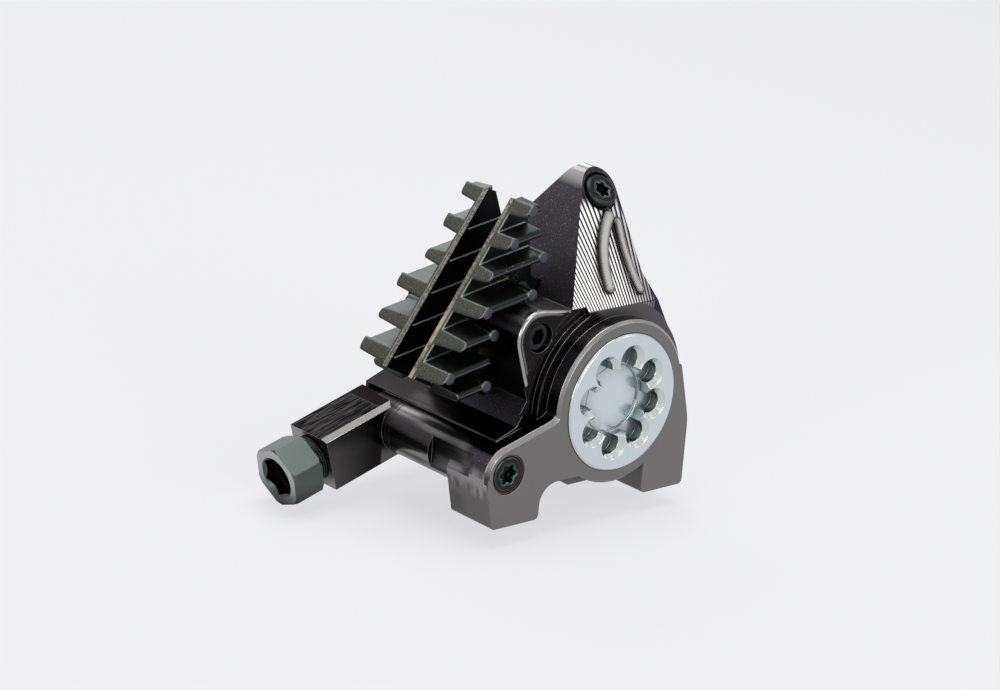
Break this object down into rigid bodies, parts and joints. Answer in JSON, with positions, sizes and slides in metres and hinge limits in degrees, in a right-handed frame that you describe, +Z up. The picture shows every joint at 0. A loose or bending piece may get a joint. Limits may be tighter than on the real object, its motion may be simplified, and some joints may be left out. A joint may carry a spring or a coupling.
{
  "type": "disc brake caliper",
  "caption": "Flat mount bicycle disc brake caliper with opposed pistons, finned pads, a screw-in bore cap, a tall milled tower and an arm for the hose.",
  "frame": {"origin": "On the mounting plane, midway between the two mounting bolts.", "axes": "X runs along the frame tube from the hose arm to the right foot, Y from the capped side through the rotor slot to the far side, Z is up and square to the mounting plane."},
  "size_m": [0.0653, 0.038, 0.0573],
  "materials": {
    "dark_anodised": "satin",
    "silver_anodised": "satin",
    "seal_rubber": "matte",
    "red_rubber": "matte",
    "piston_resin": "matte",
    "plate_steel": "ground",
    "friction": "rough",
    "fin_cast": "satin",
    "screw_steel": "satin",
    "spring_steel": "satin",
    "black_screw": "satin",
    "nut_anodised": "satin",
    "olive_brass": "satin"
  },
  "bodies": {
    "housing": {"caliper_body": "dark_anodised", "bore_cap": "silver_anodised", "bore_cap_seal": "seal_rubber", "piston_seal_near": "seal_rubber", "piston_seal_far": "seal_rubber", "pad_spring": "spring_steel", "pad_axle": "screw_steel", "pad_axle_clip": "spring_steel", "bleed_screw": "black_screw", "bleed_screw_seal": "seal_rubber", "passage_plug": "black_screw", "passage_plug_seal": "red_rubber", "hose_nut": "nut_anodised", "hose_olive": "olive_brass"},
    "near_piston": {"piston_near": "piston_resin"},
    "far_piston": {"piston_far": "piston_resin"},
    "near_pad": {"pad_backplate_near": "plate_steel", "pad_friction_near": "friction", "pad_fins_near": "fin_cast", "fin_rivets_near": "screw_steel"},
    "far_pad": {"pad_backplate_far": "plate_steel", "pad_friction_far": "friction", "pad_fins_far": "fin_cast", "fin_rivets_far": "screw_steel"}
  },
  "joints": [
    {"name": "near_piston_slide", "type": "slide", "parent": "housing", "child": "near_piston", "axis": [0, 1, 0], "range_m": [0, 0.001]},
    {"name": "far_piston_slide", "type": "slide", "parent": "housing", "child": "far_piston", "axis": [0, -1, 0], "range_m": [0, 0.001]},
    {"name": "near_pad_slide", "type": "slide", "parent": "housing", "child": "near_pad", "axis": [0, 1, 0], "range_m": [0, 0.001]},
    {"name": "far_pad_slide", "type": "slide", "parent": "housing", "child": "far_pad", "axis": [0, -1, 0], "range_m": [0, 0.001]}
  ],
  "couplings": [
    {"joint": "far_piston_slide", "follows": "near_piston_slide", "ratio": 1},
    {"joint": "near_pad_slide", "follows": "near_piston_slide", "ratio": 1},
    {"joint": "far_pad_slide", "follows": "near_piston_slide", "ratio": 1}
  ]
}
